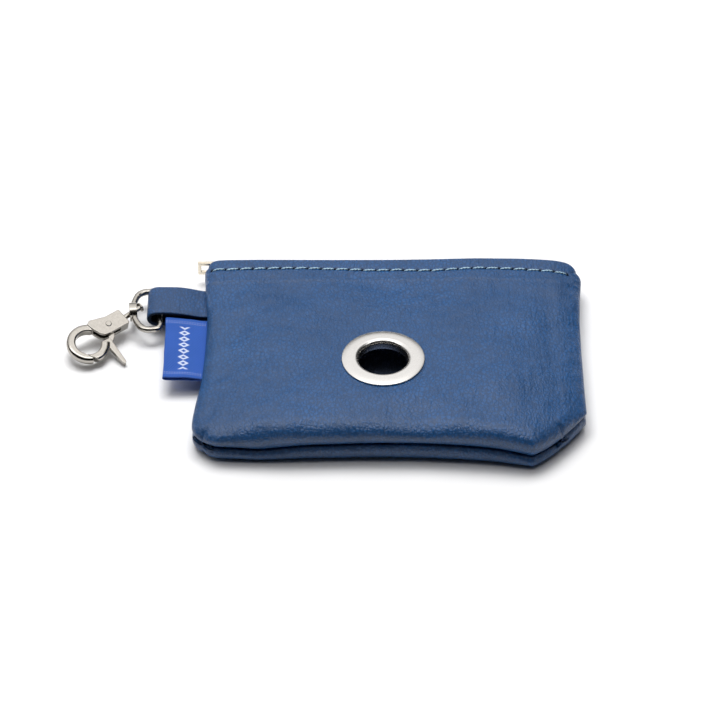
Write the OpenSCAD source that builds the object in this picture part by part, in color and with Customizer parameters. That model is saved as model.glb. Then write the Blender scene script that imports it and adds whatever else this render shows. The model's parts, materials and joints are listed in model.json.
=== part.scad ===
// Small leather zip pouch with a large eyelet in its face, a side strap with a swivel trigger hook,
// and a folded ribbon label. It lies on its back panel: +X runs along the zip to the right, +Y points
// to the zip edge and +Z up. The origin is the centre of the resting face.

/* [Pouch] */
// Width of the pouch along the zip
pouch_width = 111; // [108:1:114]
// Depth of the pouch from the bottom seam to the zip edge
pouch_depth = 74.5; // [73:0.5:78]
// Height of the upper panel at the zip edge
zip_edge_height = 10.6; // [10.6:0.1:11]
// Height of the crown above the zip edge
crown_rise = 3.6; // [3:0.1:4.5]
// Thickness of the leather
leather = 1.0; // [0.8:0.1:1]
// Width of the turned-in seam allowance
seam_allowance = 4.5; // [4:0.5:5]

/* [Eyelet] */
// Inner radius of the eyelet's throat
eyelet_bore_r = 7; // [6:0.5:7]
// Outer radius of the eyelet's flange
eyelet_flange_r = 12; // [11.5:0.5:12]

/* [Zip] */
// Length of the slider's body
slider_length = 8.4; // [7.5:0.1:9]
// Distance between one coil element and the next
tooth_pitch = 1.5; // [1.5:0.5:3]
// Length of the pull from its pin to its end
pull_length = 13.9; // [10:0.1:14]

/* [Strap and label] */
// Width of the strap loop
strap_width = 10.8; // [9.5:0.1:10.8]
// Width of the ribbon that the label is folded from
label_width = 23.6; // [18:0.1:24]
// Length of the label that stands out of the seam
label_reach = 9.1; // [7:0.1:9.1]

/* [Trigger hook] */
// Inner radius of the hook's ring
hook_ring_r = 3.8; // [3.6:0.1:3.8]
// Thickness of the hook's ring
hook_thickness = 3; // [2.8:0.1:3.2]
// Reach of the thumb lever from the hook's centre line
lever_reach = 12.6; // [9:0.1:12.6]

/* [Hidden] */
hw = pouch_width / 2;
hd = pouch_depth / 2;
panel_gap = 0.2;
layer_gap = 0.1;
seam_thread_r = 0.1;
seam_thread_inset = 2;
hem_thickness = 1.5;
hem_depth = 8;
side_roll = 5.5;
front_roll = 9;
back_lift = 0.6;
seam_z_side = 5.4;
seam_z_front = 7.5;
corner_radius_zip = 3.5;
corner_radius_left = 9;
corner_radius_right = 12;
grid_x = 44;
grid_y = 30;

eyelet_x = -2.5;
eyelet_y = -7.5;
eyelet_z = 13.7;
eyelet_tilt = 4.5;
eyelet_wall = 0.45;
eyelet_crown = 0.95;
washer_thickness = 0.5;
patch_radius = 13.5;
patch_blend = 13;

zip_z = (back_lift + zip_edge_height) / 2;
hem_inner_top = zip_edge_height - hem_thickness;
hem_inner_bottom = back_lift + hem_thickness;
zip_y = hd - 0.65;
zip_half = hw - seam_allowance - 0.5;
tape_thickness = 0.45;
tape_edge_y = hd - 9.5;
tooth_inner = 0.65;
tooth_outer = 2.1;
tooth_height = 1.5;
teeth_end = zip_half - 2.4;
teeth_count = floor(2 * teeth_end / tooth_pitch);
stop_length = 1.2;
slider_x = -teeth_end + slider_length / 2 + 0.2;
slider_half_width = 2.75;
slider_plate = 0.9;
slider_clear = 0.2;
pull_pin_r = 0.5;
pull_y = zip_y + tooth_height / 2 + slider_clear + slider_plate + 0.65;

seam_x = -hw - 1.3;
seam_z = seam_z_side - 0.2;
strap_y = 22.4;
strap_root_r = leather;
loop_outer_r = leather + 1.9;
loop_x = -69.3;
label_y = 4.4;
label_thickness = 0.4;
label_tilt = 6;

wire_r = 1;
eye_bar = [-68.6, 21.5, seam_z];
eye_yaw = 6;
eye_half_width = 8;
eye_depth = 3.1;
eye_bar_corner_r = 1.8;
eye_corner_r = 3.3;
eye_bow = 4.5;
boss_r = 2.8;
boss_length = 2.2;
post_r = 0.8;
socket_clearance = 0.06;
hook_yaw = 42;
hook_pitch = 2.5;
hook_roll = 17;
hook_reach = 17.6;
hook_end = 13.8;
boss_centre = eye_bar - (eye_depth + eye_bow) * [cos(eye_yaw), sin(eye_yaw), 0];
hook_origin = boss_centre
    - hook_reach * [cos(hook_pitch) * cos(hook_yaw), cos(hook_pitch) * sin(hook_yaw), sin(hook_pitch)];
ring_centre = [-0.3, -0.9];
ring_width = 2.6;
ring_mid_r = hook_ring_r + ring_width / 2;
plate_height = 3.6;
slot_height = 1.6;
gate_pivot = [8.3, 0.4];
gate_pin_r = 0.6;
gate_thickness = 1.4;
gate_hub_r = 1.5;
gate_tip_r = gate_pivot.x - ring_centre.x + hook_ring_r - 0.25;
nose_angle = 246;
fine = 64;

// ---- Shared shape functions ----

function clamp01(v) = max(0, min(1, v));
function ease(v) = let (k = clamp01(v)) k * k * (3 - 2 * k);
// Quarter-ellipse rise from 0 at an edge to 1 at the distance r from it
function roll(d, r) = d <= 0 ? 0 : d >= r ? 1 : sqrt(1 - pow(1 - d / r, 2));
// Points closer together towards both ends of the range -1 to 1
function spread(i, n) = sin(180 * i / n - 90);
function arc_points(centre, r, from, to, steps) =
    [for (k = [0:steps]) centre + r * [cos(from + (to - from) * k / steps), sin(from + (to - from) * k / steps)]];

// ---- The pouch's outline and surfaces, over a grid of s and t from -1 to 1 ----

function corner_radius(s, t) = t > 0 ? corner_radius_zip : s < 0 ? corner_radius_left : corner_radius_right;
// Place in plan of a grid point: a rectangle whose corners are pulled into arcs
function plan(s, t, inset_side = 0, inset_front = 0) =
    let (
        half_x = hw - inset_side,
        low_y = -hd + inset_front,
        x = s * half_x,
        y = (t + 1) / 2 * (hd - low_y) + low_y,
        r = max(0.5, corner_radius(s, t) - inset_side),
        dx = (abs(x) - (half_x - r)) / r,
        dy = t > 0 ? (y - (hd - r)) / r : ((low_y + r) - y) / r
    )
    dx > 0 && dy > 0
        ? [
            sign(x) * (half_x - r + r * dx * sqrt(1 - dy * dy / 2)),
            t > 0 ? hd - r + r * dy * sqrt(1 - dx * dx / 2) : low_y + r - r * dy * sqrt(1 - dx * dx / 2)
        ]
        : [x, y];
// Height of the seam between the two panels
function seam_height(s, t) =
    seam_z_side + (seam_z_front - seam_z_side) * ease((-t - 0.55) / 0.45) * (1 - pow(abs(s), 5));
// Height of the upper panel's crown, which is highest at the front half
function crest(t) = zip_edge_height + crown_rise * ease((1 - t) / 1.3);
// The eyelet clamps the leather flat around it
function eyelet_plane(y) = eyelet_z - tan(eyelet_tilt) * (y - eyelet_y);
function top_height(s, t, p) =
    let (
        side = hw * (1 - abs(s)),
        front = hd * (1 + t),
        base = seam_height(s, t),
        free = base + (zip_edge_height - base + (crest(t) - zip_edge_height) * ease(side / 30))
            * roll(side, side_roll) * roll(front, front_roll),
        away = norm([p.x - eyelet_x, p.y - eyelet_y])
    )
    let (k = ease((away - patch_radius) / patch_blend)) (1 - k) * eyelet_plane(p.y) + k * free;
function bottom_height(s, t) =
    seam_height(s, t) * (1 - roll(hw * (1 - abs(s)), side_roll) * roll(hd * (1 + t), 6.5))
        + back_lift * ease((hd * t - hd + hem_depth + 5) / 5) * roll(hw * (1 - abs(s)), side_roll);
function on_seam(i, j) = i == 0 || i == grid_x || j == 0;
function leather_at(t) = hd * (1 - t) < hem_depth ? hem_thickness : leather;

function panel_outer(upper) = [
    for (j = [0:grid_y], i = [0:grid_x])
        let (s = spread(i, grid_x), t = spread(j, grid_y), p = plan(s, t))
        [p.x, p.y, upper
            ? max(top_height(s, t, p), seam_height(s, t) + panel_gap)
            : min(bottom_height(s, t), seam_height(s, t) - panel_gap)]
];
function panel_inner(upper) = [
    for (j = [0:grid_y], i = [0:grid_x])
        let (
            s = spread(i, grid_x) * (1 - seam_allowance / hw),
            t_raw = spread(j, grid_y),
            t = -1 + seam_allowance / hd + (t_raw + 1) / 2 * (2 - seam_allowance / hd),
            p = plan(spread(i, grid_x), t_raw, seam_allowance, seam_allowance),
            seam = seam_height(s, t)
        )
        [p.x, p.y, upper
            ? (on_seam(i, j) ? seam + panel_gap : top_height(s, t, p) - leather_at(t))
            : (on_seam(i, j) ? seam - panel_gap : bottom_height(s, t) + leather_at(t))]
];
// Two grids of triangles joined round their edges into one closed shell
function grid_faces(nx, ny, base, flip) = [
    for (j = [0:ny - 1], i = [0:nx - 1])
        let (a = base + j * (nx + 1) + i, b = a + 1, c = a + nx + 2, d = a + nx + 1)
        each (flip ? [[a, b, c], [a, c, d]] : [[a, c, b], [a, d, c]])
];
function rim_loop(nx, ny) = concat(
    [for (i = [0:nx - 1]) i],
    [for (j = [0:ny - 1]) j * (nx + 1) + nx],
    [for (i = [nx:-1:1]) ny * (nx + 1) + i],
    [for (j = [ny:-1:1]) j * (nx + 1)]
);
function rim_faces(nx, ny, flip) =
    let (ring = rim_loop(nx, ny), n = len(ring), other = (nx + 1) * (ny + 1))
    [
        for (k = [0:n - 1])
            let (a = ring[k], b = ring[(k + 1) % n])
            each (flip
                ? [[a, other + a, other + b], [a, other + b, b]]
                : [[a, b, other + b], [a, other + b, other + a]])
    ];
module panel_shell(upper) {
    count = (grid_x + 1) * (grid_y + 1);
    polyhedron(
        points = concat(panel_outer(upper), panel_inner(upper)),
        faces = concat(
            grid_faces(grid_x, grid_y, 0, !upper),
            grid_faces(grid_x, grid_y, count, upper),
            rim_faces(grid_x, grid_y, !upper)
        )
    );
}

// ---- Placing helpers ----

module at_eyelet() {
    translate([eyelet_x, eyelet_y, eyelet_z])
        rotate([-eyelet_tilt, 0, 0])
            children();
}
module at_eye() {
    translate(eye_bar)
        rotate([0, 0, eye_yaw])
            translate([-eye_depth, 0, 0])
                children();
}
module at_hook() {
    translate(hook_origin)
        rotate([hook_roll, -hook_pitch, hook_yaw])
            children();
}
// Round bar from one point to another
module rod(from, to, r) {
    span = to - from;
    flat = norm([span.x, span.y]);
    translate(from)
        rotate([0, atan2(flat, span.z), atan2(span.y, span.x)])
            cylinder(h = norm(span), r = r, $fn = 16);
}

// ---- Pouch ----

module front_panel() {
    color([0.27, 0.39, 0.58])
        difference() {
            panel_shell(true);
            at_eyelet()
                translate([0, 0, -8])
                    cylinder(h = 12, r = eyelet_bore_r + 0.7, $fn = fine);
        }
}

module back_panel() {
    color([0.22, 0.33, 0.52])
        panel_shell(false);
}

// One straight row of stitches beside the zip edge, lying on the leather
module stitch_row(z) {
    stitch_pitch = 4;
    stitch_length = 3.1;
    thread_r = 0.22;
    stitches = floor((2 * zip_half - 2) / stitch_pitch);
    for (k = [0:stitches - 1])
        let (x = (k - (stitches - 1) / 2) * stitch_pitch)
            rod([x - stitch_length / 2, hd - 3.2, z], [x + stitch_length / 2, hd - 2.9, z], thread_r);
}
module top_stitching_front() {
    color([0.62, 0.70, 0.80])
        stitch_row(zip_edge_height + 0.27);
}
module top_stitching_back() {
    color([0.62, 0.70, 0.80])
        stitch_row(back_lift - 0.25);
}

// Seam thread between the panels' turned-in edges, one short rod for each stitch
function seam_point(s, t) =
    let (
        p = plan(s, t, seam_thread_inset, seam_thread_inset),
        s_in = s * (1 - seam_allowance / hw),
        t_in = -1 + seam_allowance / hd + (t + 1) / 2 * (2 - seam_allowance / hd),
        share = seam_thread_inset / seam_allowance
    )
    [p.x, p.y, (1 - share) * seam_height(s, t) + share * seam_height(s_in, t_in)];
module seam_run(from, to, stitches) {
    for (k = [0:stitches - 1])
        let (a = from + (to - from) * k / stitches, b = from + (to - from) * (k + 0.8) / stitches)
            rod(seam_point(a.x, a.y), seam_point(b.x, b.y), seam_thread_r);
}
module left_seam_thread() {
    color([0.85, 0.88, 0.92])
        seam_run([-1, -0.7], [-1, 0.9], 20);
}
module right_seam_thread() {
    color([0.85, 0.88, 0.92])
        seam_run([1, -0.62], [1, 0.9], 20);
}
module bottom_seam_thread() {
    color([0.85, 0.88, 0.92])
        seam_run([-0.8, -1], [0.74, -1], 30);
}

// ---- Eyelet: a flanged barrel set over a washer through the upper panel ----

module eyelet_ring() {
    throat_r = 1.3;
    under = -leather - layer_gap - washer_thickness - 0.05;
    color([0.90, 0.89, 0.87])
        at_eyelet()
            rotate_extrude($fn = 96)
                polygon(concat(
                    [
                        [eyelet_flange_r, 0.05],
                        [eyelet_flange_r, 0.35],
                        [eyelet_flange_r - 0.5, 0.68],
                        [eyelet_flange_r - 1.6, eyelet_crown - 0.05]
                    ],
                    arc_points([eyelet_bore_r + throat_r, eyelet_crown - throat_r], throat_r, 75, 180, 8),
                    [
                        [eyelet_bore_r, under - 0.55],
                        [eyelet_bore_r + 1.7, under - 0.55],
                        [eyelet_bore_r + 1.9, under - 0.3],
                        [eyelet_bore_r + 1.9, under],
                        [eyelet_bore_r + eyelet_wall, under],
                        [eyelet_bore_r + eyelet_wall, 0.05]
                    ]
                ));
}
module eyelet_washer() {
    color([0.80, 0.79, 0.77])
        at_eyelet()
            translate([0, 0, -leather - layer_gap - washer_thickness])
                difference() {
                    cylinder(h = washer_thickness, r = eyelet_flange_r - 0.5, $fn = fine);
                    translate([0, 0, -1])
                        cylinder(h = washer_thickness + 2, r = eyelet_bore_r + eyelet_wall + 0.1, $fn = fine);
                }
}

// ---- Zip, standing on edge behind the hems; side is 1 for the upper half and -1 for the lower ----

module zip_tape(side) {
    hem_z = side > 0 ? hem_inner_top - layer_gap - tape_thickness : hem_inner_bottom + layer_gap;
    reach = abs((side > 0 ? hem_z : hem_z + tape_thickness) - zip_z);
    color([0.16, 0.22, 0.34]) {
        translate([-zip_half, tape_edge_y, hem_z])
            cube([2 * zip_half, zip_y - tape_thickness / 2 - tape_edge_y, tape_thickness]);
        translate([-zip_half, zip_y - tape_thickness / 2,
            side > 0 ? zip_z + tooth_outer : zip_z - reach - tape_thickness])
            cube([2 * zip_half, tape_thickness, reach + tape_thickness - tooth_outer]);
    }
}
module zip_tape_front() {
    zip_tape(1);
}
module zip_tape_back() {
    zip_tape(-1);
}
// Coil elements on a cord that edges the tape
module zip_teeth(side) {
    element = tooth_pitch * 0.55;
    cord = 0.5;
    low = side > 0 ? zip_z + tooth_inner : zip_z - tooth_outer;
    cord_low = side > 0 ? zip_z + tooth_outer - cord : zip_z - tooth_outer;
    color([0.20, 0.27, 0.40]) {
        translate([-teeth_end, zip_y - tooth_height / 2 + 0.15, cord_low])
            cube([2 * teeth_end, tooth_height - 0.3, cord]);
        for (k = [0:teeth_count - 1])
            translate([-teeth_end + (k + (side > 0 ? 0.25 : 0.75)) * tooth_pitch - element / 2,
                zip_y - tooth_height / 2, low])
                cube([element, tooth_height, tooth_outer - tooth_inner]);
    }
}
module zip_teeth_front() {
    zip_teeth(1);
}
module zip_teeth_back() {
    zip_teeth(-1);
}
// Metal clip that straddles the tape just past the last element
module zip_stop(x, low, high) {
    translate([x, zip_y - tooth_height / 2, low])
        cube([stop_length, tooth_height, high - low]);
}
module zip_top_stops() {
    color([0.86, 0.83, 0.76]) {
        zip_stop(-teeth_end - stop_length - 0.3, zip_z + tooth_inner, zip_z + tooth_outer - 0.05);
        zip_stop(-teeth_end - stop_length - 0.3, zip_z - tooth_outer + 0.05, zip_z - tooth_inner);
    }
}
module zip_bottom_stop() {
    color([0.86, 0.83, 0.76])
        zip_stop(teeth_end + 0.3, zip_z - tooth_outer + 0.05, zip_z + tooth_outer - 0.05);
}
module zip_slider() {
    inner = tooth_height / 2 + slider_clear;
    flange = slider_half_width - tooth_outer - slider_clear;
    lip = inner - tape_thickness / 2 - slider_clear;
    bridge_span = 5.2;
    bridge_rise = 1.9;
    bridge_width = 1.7;
    bridge_bar = 0.6;
    color([0.86, 0.83, 0.76])
        translate([slider_x, zip_y, zip_z]) {
            for (face = [-1, 1]) {
                translate([-slider_length / 2, face > 0 ? inner : -inner - slider_plate, -slider_half_width])
                    cube([slider_length, slider_plate, 2 * slider_half_width]);
                for (edge = [-1, 1])
                    translate([-slider_length / 2, face > 0 ? inner - lip : -inner,
                        edge > 0 ? slider_half_width - flange : -slider_half_width])
                        cube([slider_length, lip, flange]);
            }
            // The divider that parts the two rows of elements
            translate([-slider_length / 2, -inner, -0.4])
                cube([2.4, 2 * inner, 0.8]);
            // The bridge that holds the pull
            for (end = [-1, 1])
                translate([end * (bridge_span - bridge_bar) / 2 - bridge_bar / 2, inner + slider_plate, -bridge_width / 2])
                    cube([bridge_bar, bridge_rise, bridge_width]);
            translate([-bridge_span / 2, inner + slider_plate + bridge_rise - bridge_bar, -bridge_width / 2])
                cube([bridge_span, bridge_bar, bridge_width]);
        }
}
// Open rectangular frame on a round pin, lying against the zip and pointing past its closed end
module zip_pull() {
    pull_width = 4.6;
    rail = 1.0;
    thickness = 1.0;
    neck_gap = 2.2;
    color([0.88, 0.85, 0.78])
        translate([slider_x, pull_y, zip_z]) {
            translate([0, 0, -pull_width / 2])
                cylinder(h = pull_width, r = pull_pin_r, $fn = 24);
            for (edge = [-1, 1])
                translate([-pull_length, -thickness / 2, edge > 0 ? pull_width / 2 - rail : -pull_width / 2])
                    cube([pull_length, thickness, rail]);
            translate([-pull_length, -thickness / 2, -pull_width / 2])
                cube([rail, thickness, pull_width]);
            translate([-neck_gap - rail - 1.4, -thickness / 2, -pull_width / 2])
                cube([rail, thickness, pull_width]);
        }
}

// ---- Strap loop and label, each on a round root at the side seam ----

// Outline of a flat loop that opens from a narrow root into a round end, seen from the front
function loop_side(r, root_x, root_half, up) =
    let (
        span = root_x - loop_x,
        lean = asin((r - root_half) / span)
    )
    arc_points([loop_x, seam_z], r, up * (90 - lean), up * 180, 12);
module loop_outline(r, root_x, root_half) {
    polygon(concat(
        [[root_x, seam_z + root_half]],
        loop_side(r, root_x, root_half, 1),
        [for (k = [11:-1:0]) loop_side(r, root_x, root_half, -1)[k]],
        [[root_x, seam_z - root_half]]
    ));
}
module strap_loop() {
    color([0.25, 0.37, 0.55])
        translate([0, strap_y + strap_width / 2, 0])
            rotate([90, 0, 0])
                linear_extrude(height = strap_width)
                    difference() {
                        union() {
                            loop_outline(loop_outer_r, seam_x, strap_root_r);
                            translate([seam_x, seam_z])
                                circle(r = strap_root_r, $fn = 32);
                        }
                        loop_outline(loop_outer_r - leather, seam_x - 3, 0.02);
                    }
}
module woven_label() {
    gap = 0.3;
    half = label_thickness + gap / 2;
    color([0.20, 0.36, 0.75])
        translate([seam_x, label_y + label_width / 2, seam_z])
            rotate([90, 0, 0])
                rotate([0, 0, -label_tilt])
                    linear_extrude(height = label_width)
                        difference() {
                            union() {
                                translate([-label_reach, -half])
                                    square([label_reach, 2 * half]);
                                circle(r = half, $fn = 24);
                                translate([-label_reach, 0])
                                    circle(r = half, $fn = 24);
                            }
                            translate([-label_reach, -gap / 2])
                                square([label_reach - 2, gap]);
                        }
}

// ---- Swivel eye: a bowed wire ring with a boss that the post turns in ----

// Part of a round wire bent to a radius, between two angles
module bent_wire(centre, bend_r, from, sweep, r) {
    translate(centre)
        rotate([0, 0, from])
            rotate_extrude(angle = sweep, $fn = fine)
                translate([bend_r, 0])
                    circle(r = r, $fn = 24);
}
module swivel_eye() {
    c = eye_half_width - eye_corner_r;
    // Radius and centre of the bow that closes the ring between its two round corners
    k = (c * c - pow(eye_bow - eye_corner_r, 2)) / (2 * (eye_bow - eye_corner_r));
    bow_r = eye_bow + k;
    bow_half = atan2(c, k);
    bar_half = eye_half_width - eye_bar_corner_r;
    side_length = eye_depth - eye_bar_corner_r;
    // The straight runs and the bow are a little thinner than the corners, and their ends lie inside them
    thin_r = wire_r - 0.05;
    lap = 0.3;
    bow_lap = lap / bow_r * 180 / PI;
    waist = 1.0;
    flare_slope = 0.78;
    color([0.86, 0.85, 0.83])
        at_eye()
            difference() {
                union() {
                    translate([eye_depth, -bar_half - lap, 0])
                        rotate([-90, 0, 0])
                            cylinder(h = 2 * (bar_half + lap), r = thin_r, $fn = 24);
                    for (side = [-1, 1])
                        translate([-lap, side * eye_half_width, 0])
                            rotate([0, 90, 0])
                                cylinder(h = side_length + 2 * lap, r = thin_r, $fn = 24);
                    bent_wire([side_length, bar_half, 0], eye_bar_corner_r, 0, 90, wire_r);
                    bent_wire([side_length, -bar_half, 0], eye_bar_corner_r, -90, 90, wire_r);
                    bent_wire([0, c, 0], eye_corner_r, 90, 90 - bow_half, wire_r);
                    bent_wire([0, -c, 0], eye_corner_r, bow_half - 180, 90 - bow_half, wire_r);
                    bent_wire([k, 0, 0], bow_r, 180 - bow_half - bow_lap, 2 * (bow_half + bow_lap), thin_r);
                    translate([-eye_bow - boss_length / 2, 0, 0])
                        rotate([0, 90, 0])
                            cylinder(h = boss_length, r = boss_r, $fn = 48);
                }
                // Hole that widens both ways, so that the post can rock as well as turn
                translate([-eye_bow, 0, 0])
                    rotate([0, 90, 0])
                        rotate_extrude($fn = 48)
                            polygon([
                                [0, -boss_length], [waist + flare_slope * boss_length, -boss_length], [waist, 0],
                                [waist + flare_slope * boss_length, boss_length], [0, boss_length]
                            ]);
            }
}
// Headed post, along the hook's own axis
module swivel_post() {
    head_near = hook_reach + 2.5;
    color([0.84, 0.83, 0.81])
        at_hook()
            rotate([0, 90, 0]) {
                translate([0, 0, hook_end - 1.6])
                    cylinder(h = 0.7, r = 1.3, $fn = 32);
                translate([0, 0, hook_end - 1.6])
                    cylinder(h = head_near - hook_end + 1.7, r = post_r, $fn = 32);
                translate([0, 0, head_near])
                    cylinder(h = 0.35, r = 1.4, $fn = 32);
                translate([0, 0, head_near + 0.35])
                    cylinder(h = 0.35, r1 = 1.4, r2 = 0.9, $fn = 32);
            }
}

// ---- Trigger hook ----

// Section of the ring: flat inside, rounded outside, with its centre at x = 0
module ring_section(width, height) {
    round_r = height * 0.42;
    polygon(concat(
        [[-width / 2, -height / 2 + 0.35], [-width / 2 + 0.35, -height / 2]],
        arc_points([width / 2 - round_r, -height / 2 + round_r], round_r, -90, 0, 5),
        arc_points([width / 2 - round_r, height / 2 - round_r], round_r, 0, 90, 5),
        [[-width / 2 + 0.35, height / 2], [-width / 2, height / 2 - 0.35]]
    ));
}
module ring_arc(from, sweep, width, height) {
    translate([ring_centre.x, ring_centre.y, 0])
        rotate([0, 0, from])
            rotate_extrude(angle = sweep, $fn = 96)
                translate([ring_mid_r, 0])
                    ring_section(width, height);
}
// The room that the gate's round end sweeps, about its pivot
module gate_sweep(r, h) {
    translate([gate_pivot.x, gate_pivot.y, -h / 2])
        cylinder(h = h, r = r, $fn = 128);
}
module hook_body() {
    color([0.86, 0.85, 0.83])
        at_hook()
            difference() {
                union() {
                    ring_arc(38, nose_angle - 38, ring_width, hook_thickness);
                    translate([0, 0, -plate_height / 2])
                        linear_extrude(height = plate_height)
                            polygon([
                                [2.9, 3.9], [4.2, 4.6], [6.2, 3.9], [9, 2.9], [hook_end - 0.4, 2.6], [hook_end, 2.3],
                                [hook_end, -2.5], [hook_end - 0.4, -2.8], [9, -2.4], [6.9, -2.3],
                                [5.3, -1.9], [4.3, -0.9], [3.7, 0.6], [3.3, 2]
                            ]);
                }
                // Slot for the gate's tail
                translate([0, 0, -slot_height / 2])
                    linear_extrude(height = slot_height)
                        polygon([[2, -4], [2, 0.9], [5.6, 2.2], [10.4, 2.2], [10.8, 1.6], [10.8, -4]]);
                // Rivet hole
                translate([gate_pivot.x, gate_pivot.y, -plate_height])
                    cylinder(h = 2 * plate_height, r = gate_pin_r + 0.03, $fn = 32);
                // The nose ends on a face that clears the gate's tip
                intersection() {
                    gate_sweep(gate_tip_r + 0.15, 8);
                    translate([-8, -12, -4])
                        cube([16, 12 + ring_centre.y - hook_ring_r * 0.55, 8]);
                }
                // Bore and pocket that the post turns in
                rotate([0, 90, 0]) {
                    translate([0, 0, hook_end - 1])
                        cylinder(h = 3, r = post_r + socket_clearance, $fn = 32);
                    translate([0, 0, hook_end - 1.7])
                        cylinder(h = 0.9, r = 1.4, $fn = 32);
                }
            }
}
module gate_lever() {
    lever_tip_half = 0.45;
    color([0.84, 0.83, 0.80])
        at_hook()
            difference() {
                union() {
                    // Tail in the slot, round the pivot
                    translate([0, 0, -gate_thickness / 2])
                        linear_extrude(height = gate_thickness)
                            difference() {
                                union() {
                                    translate(gate_pivot)
                                        circle(r = gate_hub_r, $fn = 48);
                                    polygon([
                                        [7.6, -1], [5.6, -2.9], [3.4, -2.7], [3.0, -5.4], [5.2, -5.2],
                                        [7.6, -3.6], [9.4, -0.6]
                                    ]);
                                }
                                translate(gate_pivot)
                                    circle(r = gate_pin_r + 0.06, $fn = 48);
                            }
                    // Arm that closes the ring
                    intersection() {
                        ring_arc(228, 100, ring_width, hook_thickness - 0.4);
                        gate_sweep(gate_tip_r, 8);
                    }
                    // Thumb lever
                    translate([0, 0, -0.75])
                        linear_extrude(height = 1.5)
                            polygon([
                                [5.9, -3], [3.9, -3.6], [3.9, -lever_reach + 1.2],
                                [4.1, -lever_reach + 0.3], [4.1 + lever_tip_half, -lever_reach],
                                [4.6 + lever_tip_half, -lever_reach + 0.5], [5.9, -5]
                            ]);
                }
                // Room for the coil spring beside the hub
                translate([gate_pivot.x, gate_pivot.y, 0.1])
                    cylinder(h = 2, r = gate_hub_r + 0.15, $fn = 48);
            }
}
module gate_rivet() {
    head = 0.25;
    color([0.78, 0.77, 0.75])
        at_hook()
            translate([gate_pivot.x, gate_pivot.y, 0]) {
                translate([0, 0, -plate_height / 2 - head])
                    cylinder(h = plate_height + 2 * head, r = gate_pin_r, $fn = 48);
                for (face = [0, 1])
                    mirror([0, 0, face])
                        translate([0, 0, plate_height / 2 + 0.02])
                            cylinder(h = head, r1 = 0.95, r2 = 0.75, $fn = 32);
            }
}
module gate_spring() {
    spring_wire_r = 0.14;
    color([0.55, 0.55, 0.56])
        at_hook()
            translate([gate_pivot.x, gate_pivot.y, 0])
                for (turn = [0, 1])
                    translate([0, 0, 0.3 + turn * 0.3])
                        rotate_extrude($fn = 32)
                            translate([0.95, 0])
                                circle(r = spring_wire_r, $fn = 16);
}

front_panel();
back_panel();
top_stitching_front();
top_stitching_back();
left_seam_thread();
right_seam_thread();
bottom_seam_thread();
eyelet_ring();
eyelet_washer();
zip_tape_front();
zip_tape_back();
zip_teeth_front();
zip_teeth_back();
zip_top_stops();
zip_bottom_stop();
zip_slider();
zip_pull();
strap_loop();
woven_label();
swivel_eye();
swivel_post();
hook_body();
gate_lever();
gate_rivet();
gate_spring();
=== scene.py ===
"""Looks of a small leather zip pouch with an eyelet, a side strap with a trigger hook and a ribbon label.

Lengths in the shape code are millimetres in the row frame, and meshes are made in metres.
"""

import json
import math

import bpy
import numpy as np
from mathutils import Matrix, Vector


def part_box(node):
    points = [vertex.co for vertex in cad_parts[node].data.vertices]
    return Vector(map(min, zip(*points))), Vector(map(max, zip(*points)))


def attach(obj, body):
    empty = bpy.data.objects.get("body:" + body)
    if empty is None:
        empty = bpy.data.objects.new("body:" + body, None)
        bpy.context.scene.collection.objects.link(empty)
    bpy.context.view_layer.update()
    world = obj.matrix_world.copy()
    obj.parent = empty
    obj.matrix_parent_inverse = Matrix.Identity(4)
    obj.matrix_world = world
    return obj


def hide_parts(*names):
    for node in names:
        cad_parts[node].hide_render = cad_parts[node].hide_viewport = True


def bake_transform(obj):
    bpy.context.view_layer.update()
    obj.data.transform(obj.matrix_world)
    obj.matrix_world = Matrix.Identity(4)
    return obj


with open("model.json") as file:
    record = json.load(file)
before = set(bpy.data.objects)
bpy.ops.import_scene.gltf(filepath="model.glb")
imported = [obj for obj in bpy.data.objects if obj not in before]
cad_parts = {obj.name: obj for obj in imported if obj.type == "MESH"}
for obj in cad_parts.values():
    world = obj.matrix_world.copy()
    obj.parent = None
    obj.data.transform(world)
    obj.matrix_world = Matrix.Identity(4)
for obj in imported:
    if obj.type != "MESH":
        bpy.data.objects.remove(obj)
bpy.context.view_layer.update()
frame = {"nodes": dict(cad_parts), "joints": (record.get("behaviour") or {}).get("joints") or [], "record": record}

MM = 0.001
NODES = frame["nodes"]
JOINTS = {joint["name"]: joint for joint in frame["joints"]}
MOUNTS = {mount["name"]: mount for mount in frame["record"]["mounts"]}


def box_mm(node):
    low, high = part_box(node)
    return np.array(low) / MM, np.array(high) / MM


# ---- Curves and noise ----


def smooth_line(knots, blur):
    """A function through (position, value) knots, with its corners rounded over blur mm."""
    at, value = np.array(knots, float).T
    fine = np.linspace(at[0] - 6 * blur, at[-1] + 6 * blur, 1600)
    step = fine[1] - fine[0]
    reach = max(1, int(3 * blur / step))
    kernel = np.exp(-0.5 * (np.arange(-reach, reach + 1) * step / blur) ** 2)
    kernel /= kernel.sum()
    padded = np.pad(np.interp(fine, at, value), reach, mode="edge")
    soft = np.convolve(padded, kernel, mode="valid")
    return lambda x: np.interp(x, fine, soft)


def ease(v):
    k = np.clip(v, 0, 1)
    return k * k * (3 - 2 * k)


def waves(seed, shortest, longest, count=28):
    """Smooth noise of about unit size, from plane waves of random direction."""
    rng = np.random.default_rng(seed)
    length = np.exp(rng.uniform(np.log(shortest), np.log(longest), count))
    turn = rng.uniform(0, 2 * np.pi, count)
    phase = rng.uniform(0, 2 * np.pi, count)
    kx, ky = 2 * np.pi * np.cos(turn) / length, 2 * np.pi * np.sin(turn) / length

    def value(x, y):
        total = np.zeros(np.broadcast(x, y).shape)
        for a, b, c in zip(kx, ky, phase):
            total += np.sin(a * x + b * y + c)
        return total * math.sqrt(2 / count)

    return value


# ---- Mesh helpers ----


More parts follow.
